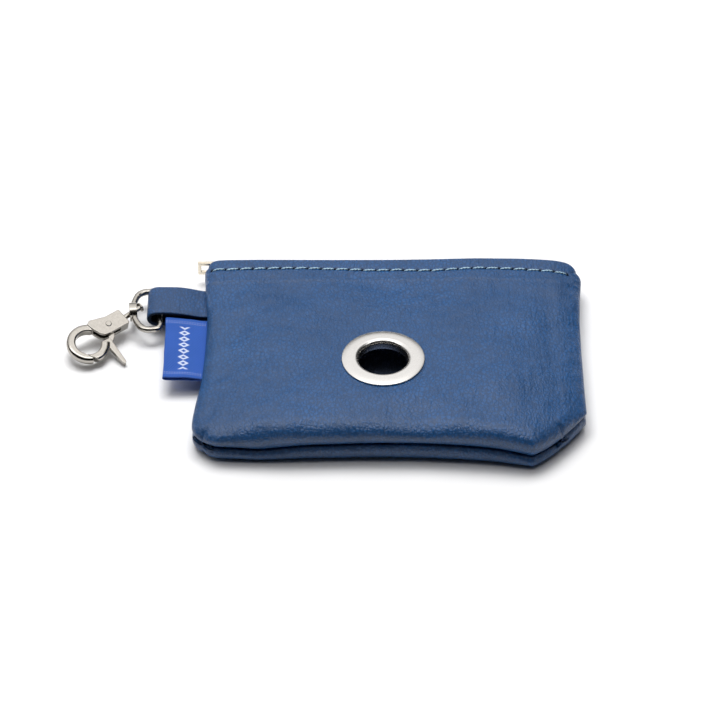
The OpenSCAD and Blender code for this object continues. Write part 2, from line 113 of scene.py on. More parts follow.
def new_object(name, points, faces, material, smooth=True):
    mesh = bpy.data.meshes.new(name)
    mesh.from_pydata([tuple(p) for p in np.asarray(points) * MM], [], faces)
    mesh.validate()
    obj = bpy.data.objects.new(name, mesh)
    bpy.context.scene.collection.objects.link(obj)
    for m in material if isinstance(material, (list, tuple)) else [material]:
        mesh.materials.append(m)
    if smooth:
        mesh.polygons.foreach_set("use_smooth", [True] * len(mesh.polygons))
    return obj


def finish_piece(obj, replaced):
    """A piece of the pouch that stands for one CAD node."""
    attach(obj, "pouch")
    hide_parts(replaced)


def two_sided(name, outer, inner, mask, materials):
    """A closed sheet between two grids of points; every open edge of the masked cells is walled."""
    rows, cols = outer.shape[:2]
    count = rows * cols
    points = np.concatenate([outer.reshape(-1, 3), inner.reshape(-1, 3)])
    faces, slots = [], []

    def corner(j, i):
        return j * cols + i

    for j in range(rows - 1):
        for i in range(cols - 1):
            if not mask[j, i]:
                continue
            a, b, c, d = corner(j, i), corner(j, i + 1), corner(j + 1, i + 1), corner(j + 1, i)
            faces.append((a, b, c, d))
            slots.append(0)
            faces.append((count + d, count + c, count + b, count + a))
            slots.append(1)
            edges = (a, b), (b, c), (c, d), (d, a)
            beyond = (-1, 0), (0, 1), (1, 0), (0, -1)
            for (p, q), (dj, di) in zip(edges, beyond):
                jj, ii = j + dj, i + di
                if 0 <= jj < rows - 1 and 0 <= ii < cols - 1 and mask[jj, ii]:
                    continue
                faces.append((q, p, count + p, count + q))
                slots.append(0)
    used = np.unique(np.array(faces).ravel())
    index = np.full(2 * count, -1)
    index[used] = np.arange(len(used))
    obj = new_object(name, points[used], [tuple(index[list(f)]) for f in faces], materials)
    obj.data.polygons.foreach_set("material_index", slots)
    return obj, used


def tube(path, radius, sides=10, closed=False, twist=0.0, lobes=0.0):
    """Points and faces of a tube along a path; lobes gives a two-ply section that twists along it."""
    path = np.asarray(path, float)
    n = len(path)
    ahead = np.roll(path, -1, 0) - np.roll(path, 1, 0)
    if not closed:
        ahead[0] = path[1] - path[0]
        ahead[-1] = path[-1] - path[-2]
    ahead /= np.linalg.norm(ahead, axis=1)[:, None]
    up = np.array([0.0, 0.0, 1.0])
    if abs(ahead[0] @ up) > 0.9:
        up = np.array([0.0, 1.0, 0.0])
    side = np.zeros_like(path)
    s = np.cross(ahead[0], up)
    for k in range(n):
        s = s - ahead[k] * (s @ ahead[k])
        s /= np.linalg.norm(s)
        side[k] = s
    top = np.cross(side, ahead)
    radius = np.broadcast_to(radius, (n,))
    angle = np.linspace(0, 2 * np.pi, sides, endpoint=False)
    run = np.concatenate([[0], np.cumsum(np.linalg.norm(np.diff(path, axis=0), axis=1))])
    points = []
    for k in range(n):
        a = angle + twist * run[k]
        r = radius[k] * (1 + lobes * np.cos(2 * angle))
        points.append(path[k] + (np.cos(a) * r)[:, None] * side[k] + (np.sin(a) * r)[:, None] * top[k])
    points = np.concatenate(points)
    faces = []
    for k in range(n if closed else n - 1):
        m = (k + 1) % n
        for i in range(sides):
            j = (i + 1) % sides
            faces.append((k * sides + i, k * sides + j, m * sides + j, m * sides + i))
    if not closed:
        faces.append(tuple(range(sides))[::-1])
        faces.append(tuple((n - 1) * sides + i for i in range(sides)))
    return points, faces


def merged(parts):
    points, faces, base = [], [], 0
    for p, f in parts:
        points.append(p)
        faces += [tuple(v + base for v in face) for face in f]
        base += len(p)
    return np.concatenate(points), faces


def lathe(profile, turns=160):
    """A closed ring turned about local Z from a closed outline of (radius, height)."""
    profile = np.asarray(profile, float)
    angle = np.linspace(0, 2 * np.pi, turns, endpoint=False)
    points = np.concatenate([
        np.stack([profile[:, 0] * math.cos(a), profile[:, 0] * math.sin(a), profile[:, 1]], 1) for a in angle
    ])
    n = len(profile)
    faces = []
    for k in range(turns):
        m = (k + 1) % turns
        for i in range(n):
            j = (i + 1) % n
            faces.append((k * n + i, m * n + i, m * n + j, k * n + j))
    return points, faces


# ---- Materials ----


class Graph:
    """Small helper round a material's node tree."""

    def __init__(self, name, colour, roughness, metallic=0.0, specular=0.5):
        self.material = bpy.data.materials.new(name)
        self.material.use_nodes = True
        self.tree = self.material.node_tree
        self.shader = self.tree.nodes["Principled BSDF"]
        self.shader.inputs["Base Color"].default_value = (*colour, 1)
        self.shader.inputs["Roughness"].default_value = roughness
        self.shader.inputs["Metallic"].default_value = metallic
        self.shader.inputs["Specular IOR Level"].default_value = specular
        coords = self.tree.nodes.new("ShaderNodeTexCoord")
        # Object coordinates in millimetres
        self.mm = self.scaled(coords.outputs["Object"], (1000, 1000, 1000))

    def link(self, a, b):
        self.tree.links.new(a, b)

    def scaled(self, vector, scale, turn=(0, 0, 0), shift=(0, 0, 0)):
        node = self.tree.nodes.new("ShaderNodeMapping")
        node.inputs["Scale"].default_value = scale
        node.inputs["Rotation"].default_value = turn
        node.inputs["Location"].default_value = shift
        self.link(vector, node.inputs["Vector"])
        return node.outputs["Vector"]

    def noise(self, vector, scale, detail=3.0, rough=0.5, distortion=0.0):
        node = self.tree.nodes.new("ShaderNodeTexNoise")
        node.inputs["Scale"].default_value = scale
        node.inputs["Detail"].default_value = detail
        node.inputs["Roughness"].default_value = rough
        node.inputs["Distortion"].default_value = distortion
        self.link(vector, node.inputs["Vector"])
        return node.outputs["Fac"]

    def cells(self, vector, scale):
        node = self.tree.nodes.new("ShaderNodeTexVoronoi")
        node.feature = "DISTANCE_TO_EDGE"
        node.inputs["Scale"].default_value = scale
        self.link(vector, node.inputs["Vector"])
        return node.outputs["Distance"]

    def wave(self, vector, scale, distortion=0.0):
        node = self.tree.nodes.new("ShaderNodeTexWave")
        node.bands_direction = "X"
        node.inputs["Scale"].default_value = scale
        node.inputs["Distortion"].default_value = distortion
        self.link(vector, node.inputs["Vector"])
        return node.outputs["Fac"]

    def math(self, operation, a, b=None):
        node = self.tree.nodes.new("ShaderNodeMath")
        node.operation = operation
        for socket, value in zip(node.inputs, (a, b)):
            if value is None:
                continue
            if isinstance(value, (int, float)):
                socket.default_value = value
            else:
                self.link(value, socket)
        return node.outputs[0]

    def span(self, value, low, high, to_low, to_high):
        node = self.tree.nodes.new("ShaderNodeMapRange")
        node.inputs["From Min"].default_value = low
        node.inputs["From Max"].default_value = high
        node.inputs["To Min"].default_value = to_low
        node.inputs["To Max"].default_value = to_high
        self.link(value, node.inputs["Value"])
        return node.outputs["Result"]

    def mix(self, factor, a, b):
        node = self.tree.nodes.new("ShaderNodeMix")
        node.data_type = "RGBA"
        self.link(factor, node.inputs["Factor"])
        for socket, value in ((node.inputs["A"], a), (node.inputs["B"], b)):
            if isinstance(value, tuple):
                socket.default_value = (*value, 1)
            else:
                self.link(value, socket)
        return node.outputs["Result"]

    def shade(self, value, low, high, dark, light):
        """A colour that goes from dark to light as the value goes from low to high."""
        return self.mix(self.span(value, low, high, 0, 1), dark, light)

    def attribute(self, name):
        node = self.tree.nodes.new("ShaderNodeAttribute")
        node.attribute_name = name
        return node.outputs["Fac"]

    def bump(self, height, distance, strength=1.0, below=None):
        node = self.tree.nodes.new("ShaderNodeBump")
        node.inputs["Distance"].default_value = distance
        node.inputs["Strength"].default_value = strength
        self.link(height, node.inputs["Height"])
        if below is not None:
            self.link(below, node.inputs["Normal"])
        return node.outputs["Normal"]

    def colour(self, socket):
        self.link(socket, self.shader.inputs["Base Color"])

    def roughness(self, socket):
        self.link(socket, self.shader.inputs["Roughness"])

    def normal(self, socket):
        self.link(socket, self.shader.inputs["Normal"])


def tinted(colour, share):
    """The colour made darker or lighter, with no channel past 1."""
    return tuple(min(1, c * share) for c in colour)


def leather_material(name, colour, grain=1.0, roughness=0.30):
    g = Graph(name, colour, roughness, specular=0.60)
    bent = g.tree.nodes.new("ShaderNodeVectorMath")
    bent.operation = "MULTIPLY_ADD"
    swirl = g.tree.nodes.new("ShaderNodeTexNoise")
    swirl.inputs["Scale"].default_value = 0.9
    g.link(g.mm, swirl.inputs["Vector"])
    g.link(swirl.outputs["Color"], bent.inputs[0])
    bent.inputs[1].default_value = (0.9, 0.9, 0.9)
    g.link(g.mm, bent.inputs[2])
    warped = bent.outputs["Vector"]
    pebble = g.cells(g.scaled(warped, (1.0, 0.75, 1.0), (0, 0, 0.5)), 0.95)
    fine = g.cells(warped, 2.0)
    pores = g.noise(g.mm, 5.5, 3, 0.6)
    creases = g.noise(g.scaled(warped, (0.75, 0.16, 0.5), (0, 0, -0.42)), 0.9, 2, 0.5, 0.4)
    valley = g.math("MINIMUM", pebble, 0.30)
    valley_fine = g.math("MINIMUM", fine, 0.20)
    height = g.math("ADD", valley, g.math("MULTIPLY", valley_fine, 0.5))
    height = g.math("ADD", height, g.math("MULTIPLY", pores, 0.2))
    soft = g.bump(creases, 0.00030 * grain, 0.9)
    g.normal(g.bump(height, 0.00023 * grain, 0.9, soft))
    blotch = g.noise(g.mm, 0.06, 3, 0.55)
    tone = g.math("ADD", g.math("MULTIPLY", blotch, 0.5), g.math("MULTIPLY", pores, 0.5))
    skin = g.shade(tone, 0.34, 0.66, tinted(colour, 0.72), tinted(colour, 1.30))
    # Painted shade: the grain's valleys are darkened in the colour
    skin = g.shade(valley, 0.0, 0.22, tinted(colour, 0.60), skin)
    # Painted shade: the needle holes are coloured near black, with less gloss there
    hole = g.attribute("needle")
    g.colour(g.shade(hole, 0.0, 0.6, skin, tinted(colour, 0.03)))
    g.link(g.span(hole, 0.0, 0.6, 0.60, 0.05), g.shader.inputs["Specular IOR Level"])
    g.roughness(g.span(pores, 0.3, 0.7, roughness - 0.05, roughness + 0.08))
    return g.material


def suede_material(name, colour):
    g = Graph(name, colour, 0.92, specular=0.15)
    nap = g.noise(g.mm, 2.6, 4, 0.65)
    pile = g.noise(g.scaled(g.mm, (1, 0.35, 1), (0, 0, 0.3)), 4.5, 2, 0.5)
    g.colour(g.shade(nap, 0.3, 0.7, tinted(colour, 0.55), tinted(colour, 1.7)))
    g.normal(g.bump(g.math("ADD", nap, pile), 0.00018, 0.7))
    return g.material


def metal_material(name, colour, roughness, bump=1.0, tarnish=0.9):
    g = Graph(name, colour, roughness, metallic=1.0)
    cast = g.noise(g.mm, 1.3, 3, 0.55)
    scuff = g.noise(g.scaled(g.mm, (0.5, 5.0, 1.0), (0, 0, 0.7)), 1.6, 3, 0.6)
    g.roughness(g.span(scuff, 0.25, 0.75, roughness - 0.05, roughness + 0.08))
    g.colour(g.shade(cast, 0.3, 0.7, tinted(colour, tarnish), colour))
    g.normal(g.bump(g.math("ADD", cast, g.math("MULTIPLY", scuff, 0.15)), 0.00003 * bump, 0.5))
    return g.material


def thread_material(name, colour):
    g = Graph(name, colour, 0.62, specular=0.3)
    fibre = g.noise(g.scaled(g.mm, (6, 6, 6), (0.3, 0.2, 0.6)), 1.6, 3, 0.6)
    g.colour(g.shade(fibre, 0.3, 0.7, tinted(colour, 0.62), tinted(colour, 1.3)))
    g.normal(g.bump(fibre, 0.00006, 0.6))
    return g.material


def tape_material(name, colour):
    g = Graph(name, colour, 0.85, specular=0.2)
    ribs = g.wave(g.scaled(g.mm, (1, 1, 1), (0, 0, 0.7)), 0.62)
    wale = g.wave(g.mm, 0.55)
    height = g.math("ADD", ribs, g.math("MULTIPLY", wale, 0.6))
    g.colour(g.shade(height, 0.2, 1.3, tinted(colour, 0.5), tinted(colour, 1.5)))
    g.normal(g.bump(height, 0.00012, 0.7))
    return g.material


def nylon_material(name, colour):
    g = Graph(name, colour, 0.36, specular=0.5)
    mottled = g.noise(g.mm, 1.8, 2, 0.5)
    g.colour(g.shade(mottled, 0.3, 0.7, tinted(colour, 0.7), tinted(colour, 1.4)))
    g.normal(g.bump(mottled, 0.00004, 0.4))
    return g.material


def ribbon_material(name, colour, middle):
    """Twill-woven ribbon with dotted border bands at both cut sides and a row of woven lozenges."""
    g = Graph(name, colour, 0.66, specular=0.3)
    split = g.tree.nodes.new("ShaderNodeSeparateXYZ")
    g.link(g.scaled(g.mm, (1, 1, 1), (0, 0, 0), (-middle[0], -middle[1], -middle[2])), split.inputs[0])
    x, y = split.outputs["X"], split.outputs["Y"]
    twill = g.wave(g.scaled(g.mm, (1, 1, 0), (0, 0, 0.62)), 0.49, 0.15)
    slub = g.noise(g.scaled(g.mm, (1.2, 0.25, 1)), 1.5, 2, 0.5)
    weave = g.math("ADD", twill, g.math("MULTIPLY", slub, 0.4))
    cloth = g.shade(weave, 0.15, 1.25, tinted(colour, 0.62), tinted(colour, 1.45))
    # Two rows of dots beside each end of the ribbon's width
    reach = g.math("ABSOLUTE", y)
    dots = g.math("GREATER_THAN", g.math("SINE", g.math("MULTIPLY", x, 8.4)), 0.15)
    near = g.math("COMPARE", reach, 10.1)
    near.node.inputs[2].default_value = 0.16
    far = g.math("COMPARE", reach, 10.75)
    far.node.inputs[2].default_value = 0.12
    row = g.math("MULTIPLY", g.math("MAXIMUM", near, far), dots)
    # Lozenges down the middle
    step = g.math("FRACT", g.math("DIVIDE", g.math("ADD", y, 50.0), 2.5))
    along = g.math("ABSOLUTE", g.math("SUBTRACT", step, 0.5))
    across = g.math("ABSOLUTE", g.math("ADD", x, -1.0))
    size = g.math("ADD", g.math("MULTIPLY", along, 2.5), g.math("MULTIPLY", across, 0.66))
    ring = g.math("MULTIPLY", g.math("LESS_THAN", size, 1.12), g.math("GREATER_THAN", size, 0.48))
    ring = g.math("MULTIPLY", ring, g.math("LESS_THAN", reach, 8.7))
    white = g.math("MAXIMUM", g.math("MULTIPLY", row, 0.45), g.math("MULTIPLY", ring, 0.9))
    g.colour(g.mix(white, cloth, (0.62, 0.68, 0.82)))
    g.normal(g.bump(g.math("ADD", twill, g.math("MULTIPLY", white, 0.7)), 0.00009, 0.65))
    return g.material


LEATHER = leather_material("blue_leather", (0.0058, 0.064, 0.196))
STRAP_LEATHER = leather_material("strap_leather", (0.008, 0.058, 0.176), 0.8, 0.40)
RAW_EDGE = suede_material("raw_leather_edge", (0.012, 0.022, 0.045))
FLESH = suede_material("leather_flesh_side", (0.085, 0.115, 0.19))
THREAD = thread_material("blue_grey_thread", (0.40, 0.58, 0.70))
SEAM_THREAD = thread_material("white_seam_thread", (0.62, 0.68, 0.74))
EYELET = metal_material("satin_nickel_eyelet", (0.74, 0.725, 0.70), 0.24, 0.25, 0.97)
# The casting's nickel is painted darker than the eyelet's, as painted shade for the dim surroundings that the hook
# reflects
CAST = metal_material("polished_nickel_casting", (0.46, 0.435, 0.395), 0.17, 1.2)
ZIP_METAL = metal_material("warm_nickel_zip", (0.84, 0.76, 0.62), 0.24, 1.0)
SPRING = metal_material("spring_wire", (0.45, 0.45, 0.46), 0.3, 1.0)
TAPE = tape_material("zip_tape_weave", (0.014, 0.026, 0.060))
COIL = nylon_material("nylon_coil", (0.018, 0.034, 0.075))

# ---- The pouch's form ----

pouch_low, pouch_high = box_mm("front_panel")
HALF_W = (pouch_high[0] - pouch_low[0]) / 2
HALF_D = (pouch_high[1] - pouch_low[1]) / 2

# Outline in plan, as knots along each side
left_x = smooth_line(
    [
        (-40, -54.6), (-34, -56.9), (-27, -57.3), (-20, -56.3), (-11, -54.9),
        (0, -54.2), (14, -53.9), (26, -54.8), (33, -55.4), (40, -55.0),
    ],
    2.2,
)
right_x = smooth_line(
    [
        (-40, 55.8), (-27, 55.9), (-22, 55.7), (-14, 55.5), (0, 55.3),
        (14, 55.3), (26, 56.0), (33, 56.7), (40, 56.6),
    ],
    2.2,
)
front_y = smooth_line(
    [
        (-58, -35.6), (-46, -35.7), (-38, -36.1), (-24, -35.8), (-6, -35.5), (8, -35.7),
        (19, -36.3), (28, -37.0), (36, -38.2), (41, -39.0), (46, -39.2), (58, -39.2),
    ],
    2.2,
)
zip_y = smooth_line([(-58, 36.4), (-50, 36.9), (-20, 37.0), (20, 37.2), (45, 37.0), (58, 36.2)], 4)
# Height of the seam along the front, and of the zip edge
front_seam_z = smooth_line(
    [
        (-58, 5.6), (-50, 5.5), (-45, 5.2), (-38, 4.8), (-33, 5.4), (-24, 6.3), (-6, 6.8),
        (10, 7.0), (24, 6.6), (33, 6.0), (38, 5.1), (45, 4.7), (58, 5.3),
    ],
    1.8,
)
side_seam_z = 5.5
zip_edge_z = smooth_line(
    [
        (-58, 10.1), (-50, 10.45), (-38, 10.6), (0, 10.6), (14, 10.8), (26, 11.15),
        (38, 11.0), (46, 10.6), (50, 10.35), (53, 9.4), (58, 8.3),
    ],
    1.4,
)
# Nominal line of the front, which depths are measured from
FRONT_Y = -36.0
# Thickness of the leather, singly and in the hem, and the hem's depth
THICK = 1.0
HEM = 1.5
HEM_DEPTH = 8.2
# Width of the seam allowance, and half the gap between the panels in the seam
FLANGE = 4.6
GAP = 0.24
# How far round the leather rolls under itself before the seam
TUCK = math.radians(46)
# Plan radius of the rolled edge of each panel, at the sides and at the front
ROLL_UPPER = (4.2, 5.6)
ROLL_LOWER = (3.6, 3.9)
# Reach of each corner's rounding, and its power: 2 is an arc and 1 a straight cut
CORNERS = {
    ("left", "front"): (7.5, 2.0),
    ("right", "front"): (16.0, 1.12),
    ("left", "zip"): (2.6, 2.0),
    ("right", "zip"): (5.0, 2.0),
}


class Side:
    """How the leather rolls in to the seam at one side, from its plan radius and the face's offset."""

    def __init__(self, rho, inward=0.0):
        self.rho = rho - inward
        self.inward = inward
        self.reach = self.rho * (math.pi / 2 + TUCK)

    def inset(self, d):
        phi = -TUCK + np.clip(d, 0, self.reach) / self.rho
        n = self.rho * (1 - np.cos(phi)) + np.maximum(d - self.reach, 0)
        # Past the seam the allowance turns inwards
        return self.inward + n + np.maximum(-d, 0)

    def inner_inset(self, d):
        """The inset of the inner face, whose seam allowance is shorter by the leather's thickness."""
        turned = self.inward + self.rho * (1 - math.cos(TUCK)) + (-d) * (FLANGE - THICK) / FLANGE
        return np.where(d < 0, turned, self.inset(d))

    def rise(self, d):
        phi = -TUCK + np.clip(d, 0, self.reach) / self.rho
        return (np.sin(phi) + math.sin(TUCK)) / (1 + math.sin(TUCK))

    def spare(self):
        return self.reach - self.rho - self.inward


def plan_point(nl, nr, nf, nz):
    """Plan position from the insets off the left, right, front and zip outlines."""
    x0 = np.where(nl < nr, -HALF_W + nl, HALF_W - nr)
    y0 = np.where(nf < nz, FRONT_Y + nf, HALF_D - nz)
    x, y = x0, y0
    for _ in range(3):
        lx, rx = left_x(y), right_x(y)
        fy, zy = front_y(x), zip_y(x)
        ax = np.where(nl < nr, nl / (nl + nr), 1 - nr / (nl + nr))
        ay = np.where(nf < nz, nf / (nf + nz), 1 - nz / (nf + nz))
        x, y = lx + ax * (rx - lx), fy + ay * (zy - fy)
    for (across, along), (radius, power) in CORNERS.items():
        n1 = nl if across == "left" else nr
        n2 = nf if along == "front" else nz
        p, q = 1 - n1 / radius, 1 - n2 / radius
        inside = (p > 1e-6) & (q > 1e-6)
        ps, qs = np.clip(p, 1e-6, None), np.clip(q, 1e-6, None)
        k = np.maximum(ps, qs) / (ps**power + qs**power) ** (1 / power)
        dx = radius * (ps - ps * k) * (1 if across == "left" else -1)
        dy = radius * (qs - qs * k) * (1 if along == "front" else -1)
        x = np.where(inside, x + dx, x)
        y = np.where(inside, y + dy, y)
    return x, y


def seam_z(x, y):
    """Height of the seam, which follows the sides and the front."""
    front = ease((-24 - y) / 9)
    return side_seam_z + (front_seam_z(x) - 0.5 - side_seam_z) * front


dents = waves(3, 14, 42)
ripples = waves(5, 5, 12)
creases = waves(11, 3.0, 7.0)


def top_free(x, y):
    """Height of the upper leather away from its rolled edges."""
    edge = zip_edge_z(x)
    depth = np.clip((zip_y(x) - y) / (2 * HALF_D), 0, 1)
    crest = edge + 3.5 * ease(depth / 0.72)
    crest = crest - 0.65 * ease((-24 - y) / 12) - 0.9 * ease((-y - 20) / 14) * ease((-30 - x) / 16)
    side = np.minimum(x - left_x(y), right_x(y) - x)
    z = edge + (crest - edge) * ease(side / 26)
    calm = ease((zip_y(x) - y) / 9)
    z = z + calm * (0.22 * dents(x, y) + 0.07 * ripples(x, y))
    # Slanting pull wrinkles on the right half, and shallower ones on the left
    lean = x * 0.75 + y * 0.66
    across = y * 0.75 - x * 0.66
    wrinkle = np.exp(-((creases(lean * 0.22, across) / 0.35) ** 2))
    share = (0.25 + 0.75 * ease((x - 4) / 22)) * np.clip(dents(x + 30, y - 50), 0, 1.2)
    z = z - calm * 0.075 * wrinkle * share
    # Faint ridge over the inner edge of the hem
    hem = zip_y(x) - HEM_DEPTH - y
    z = z + 0.10 * np.exp(-((hem / 0.45) ** 2)) - 0.16 * ease(hem / 1.4) * ease((16 - hem) / 12)
    return z


tilt = math.atan2(*[MOUNTS["eyelet_bore"]["axis"][k] for k in (1, 2)])
eyelet_axis = np.array(MOUNTS["eyelet_bore"]["axis"])
bore_mid = np.array(MOUNTS["eyelet_bore"]["pos_m"]) / MM
# Centre of the leather's upper face inside the eyelet, which lies above the middle of the bore
eyelet_centre = bore_mid + eyelet_axis * 1.275
# Radius that the eyelet clamps flat, and the hole in the leather
CLAMP_R = 12.4
LEATHER_HOLE_R = 8.4


def eyelet_plane(x, y):
    return eyelet_centre[2] - math.tan(tilt) * (y - eyelet_centre[1])


def with_eyelet(x, y, z):
    away = np.hypot(x - eyelet_centre[0], y - eyelet_centre[1])
    k = ease((away - CLAMP_R) / 12.5)
    squeeze = 0.18 * np.exp(-(((away - 13.3) / 1.1) ** 2))
    return (1 - k) * eyelet_plane(x, y) + k * z - squeeze


# ---- Stitch row along the zip edge ----

STITCH_PITCH = 4.06
stitch_y = smooth_line(
    [
        (-58, 33.2), (-53, 33.4), (-27, 33.9), (-8, 33.1), (8, 32.6),
        (26, 33.4), (42, 33.1), (51, 32.6), (58, 31.8),
    ],
    4,
)
needle_x = np.arange(-53.2, 54.5, STITCH_PITCH)


def needle_dimple(x, y, row):
    """Depth of the groove and needle holes of a stitch row, and the painted shade that darkens the needle holes.
    """
    off = y - row(x)
    pull = np.exp(-((off / 0.75) ** 2))
    gap = (x - needle_x[0] + STITCH_PITCH / 2) % STITCH_PITCH - STITCH_PITCH / 2
    inside = (x > needle_x[0] - 1) & (x < needle_x[-1] + 1)
    hole = np.exp(-(((gap - 0.02) / 0.46) ** 2) - (((off - 0.12) / 0.42) ** 2)) * inside
    return 0.12 * pull + 0.60 * hole, hole


# ---- The two panels ----


def stations(length, count, dense):
    """Positions from 0 to length, closer together over the rolled ends."""
    u = np.linspace(0, 1, count)
    return (dense * (0.5 - 0.5 * np.cos(np.pi * u)) + (1 - dense) * u) * length


def parting(x, y):
    """How far the left seam opens round the strap and the label."""
    left = ease((-46 - x) / 4)
    strap = ease((y - 15.6) / 1.8) * ease((29.6 - y) / 1.8)
    label = ease((y + 9.4) / 1.8) * ease((18.0 - y) / 1.8)
    return left * np.maximum(0.85 * strap, 0.30 * label)


def panel_grids(count_x, count_y, rho_side, rho_front):
    """Plan positions, share of the rise and edge distances of a panel's outer and inner face."""
    grids = []
    for inward in (0.0, 0.9 * THICK):
        side, front = Side(rho_side, inward), Side(rho_front, inward)
        inset = Side.inner_inset if inward else Side.inset
        width = 2 * HALF_W + 2 * side.spare()
        depth = HALF_D - FRONT_Y + front.spare()
        fold = np.linspace(FLANGE, 0.4, 4)
        across = np.concatenate([-fold, stations(width, count_x, 0.5), width + fold[::-1]])
        along = np.concatenate([-fold, stations(depth, count_y, 0.45)])
        dl, df = np.meshgrid(across, along)
        dr = width - dl
        nz = np.maximum(depth - df, 0.0)
        x, y = plan_point(inset(side, dl), inset(side, dr), inset(front, df), nz)
        lift = side.rise(dl) * side.rise(dr) * front.rise(df)
        lift = np.where((dl < 0) | (dr < 0) | (df < 0), 0.0, lift)
        grids.append((x, y, lift, nz, dl, dr, df))
    return grids


def underside_lift(x, nz):
    """How far the lower panel stands off the floor near the zip edge."""
    return 0.55 * ease((12 - nz) / 6) * (0.6 + 0.4 * np.cos(x / 40))


def add_curl(points_outer, points_inner, steps=5):
    """Rounds the folded zip edge: extra rows carry each face round to the middle of the fold."""
    top, under = points_outer[-1], points_inner[-1]
    middle = (top + under) / 2
    half = np.linalg.norm(top - under, axis=1)[:, None] / 2
    up = (top - under) / (2 * half)
    out = np.zeros_like(up)
    out[:, 1] = 1.0
    rows_outer, rows_inner = [], []
    for k in range(1, steps + 1):
        a = math.radians(90 * k / steps * 0.96)
        rows_outer.append(middle + half * (up * math.cos(a) + out * math.sin(a)))
        rows_inner.append(middle + half * (-up * math.cos(a) + out * math.sin(a)))
    outer = np.concatenate([points_outer, np.stack(rows_outer)])
    inner = np.concatenate([points_inner, np.stack(rows_inner)])
    return outer, inner


def build_panel(upper):
    """The upper or the lower panel: a sheet with a hem, rolled edges, allowances and needle holes."""
    count_x, count_y = (250, 190) if upper else (170, 130)
    layers = []
    painted_hole_shade = None
    grids = panel_grids(count_x, count_y, *(ROLL_UPPER if upper else ROLL_LOWER))
    for layer, (x, y, lift, nz, dl, dr, df) in enumerate(grids):
        seam = seam_z(x, y)
        hem = ease((HEM_DEPTH - nz) / 0.8)
        sheet = (THICK + (HEM - THICK) * hem) * layer
        if upper:
            free = with_eyelet(x, y, top_free(x, y))
            base = seam + GAP + parting(x, y) + (THICK if layer else 0)
            z = base + (free - sheet - base) * lift
        else:
            inland = ease((np.minimum(dl, dr) - 9) / 8) * ease((df - 10) / 8)
            sag = 0.12 * inland * (1 + dents(x + 60, y) * 0.5)
            free = underside_lift(x, nz) + np.maximum(0, sag)
            base = seam - GAP - parting(x, y) - (THICK if layer else 0)
            z = base + (free + sheet - base) * lift
        if layer == 0:
            # Needle holes are sunk into the leather, and their darkness is painted shade that is passed on to the
            # leather's colour
            depth, dark = needle_dimple(x, y, stitch_y)
            near = ease(lift / 0.8)
            z = z - depth * near if upper else z + depth * near
            painted_hole_shade = dark * near
        layers.append(np.stack([x, y, z], -1))
    outer, inner = add_curl(layers[0], layers[1])
    extra = outer.shape[0] - painted_hole_shade.shape[0]
    painted_hole_shade = np.concatenate([painted_hole_shade, np.zeros((extra, painted_hole_shade.shape[1]))])
    mask = np.ones((outer.shape[0] - 1, outer.shape[1] - 1), bool)
    if upper:
        away = np.hypot(outer[..., 0] - eyelet_centre[0], outer[..., 1] - eyelet_centre[1])
        cell = (away[:-1, :-1] + away[1:, :-1] + away[:-1, 1:] + away[1:, 1:]) / 4
        mask = cell > LEATHER_HOLE_R
    else:
        outer, inner, mask, painted_hole_shade = outer[:, ::-1], inner[:, ::-1], mask[:, ::-1], painted_hole_shade[:, ::-1]
    name = "front_panel_leather" if upper else "back_panel_leather"
    obj, used = two_sided(name, outer, inner, mask, [LEATHER, FLESH])
    shade = obj.data.attributes.new("needle", "FLOAT", "POINT")
    both = np.concatenate([painted_hole_shade.ravel(), np.zeros(painted_hole_shade.size)])
    shade.data.foreach_set("value", both[used].astype(np.float32))
    finish_piece(obj, "front_panel" if upper else "back_panel")


build_panel(True)
build_panel(False)


def edge_rise(n, rho):
    """Share of the full height at a plan inset n from a rolled side, on the outer face."""
    phi = np.arccos(np.clip(1 - n / rho, -1, 1))
    full = (np.sin(phi) + math.sin(TUCK)) / (1 + math.sin(TUCK))
    return np.where(n < rho, full, 1.0)


def side_rise(x, y, rho):
    return edge_rise(np.maximum(x - left_x(y), 0), rho) * edge_rise(np.maximum(right_x(y) - x, 0), rho)


def top_surface(x, y):
    base = seam_z(x, y) + GAP
    return base + (with_eyelet(x, y, top_free(x, y)) - base) * side_rise(x, y, ROLL_UPPER[0])


def bottom_surface(x, y):
    base = seam_z(x, y) - GAP
    return base + (underside_lift(x, zip_y(x) - y) - base) * side_rise(x, y, ROLL_LOWER[0])


# ---- Stitches ----


def stitch_line(name, surface, sign, replaced, seed):
    """A row of thread stitches on a surface, each sunk at both ends into its needle holes."""
    rng = np.random.default_rng(seed)
    parts = []
    for a, b in zip(needle_x[:-1], needle_x[1:]):
        skew = rng.uniform(0.10, 0.24)
        start, stop = a + 0.34, b - 0.26
        k = np.linspace(0, 1, 15)
        x = start + (stop - start) * k
        y = stitch_y(x) + skew * (2 * k - 1) - 0.05
        arch = np.sin(np.pi * k) ** 0.55
        z = surface(x, y) + sign * (0.34 * arch - 0.32 + 0.05 * rng.uniform())
        radius = 0.27 * (0.62 + 0.38 * arch)
        parts.append(tube(np.stack([x, y, z], 1), radius, 12, twist=3.4, lobes=0.24))
    points, faces = merged(parts)
    finish_piece(new_object(name, points, faces, THREAD), replaced)


stitch_line("top_stitches_front", top_surface, 1, "top_stitching_front", 21)
stitch_line("top_stitches_back", bottom_surface, -1, "top_stitching_back", 22)


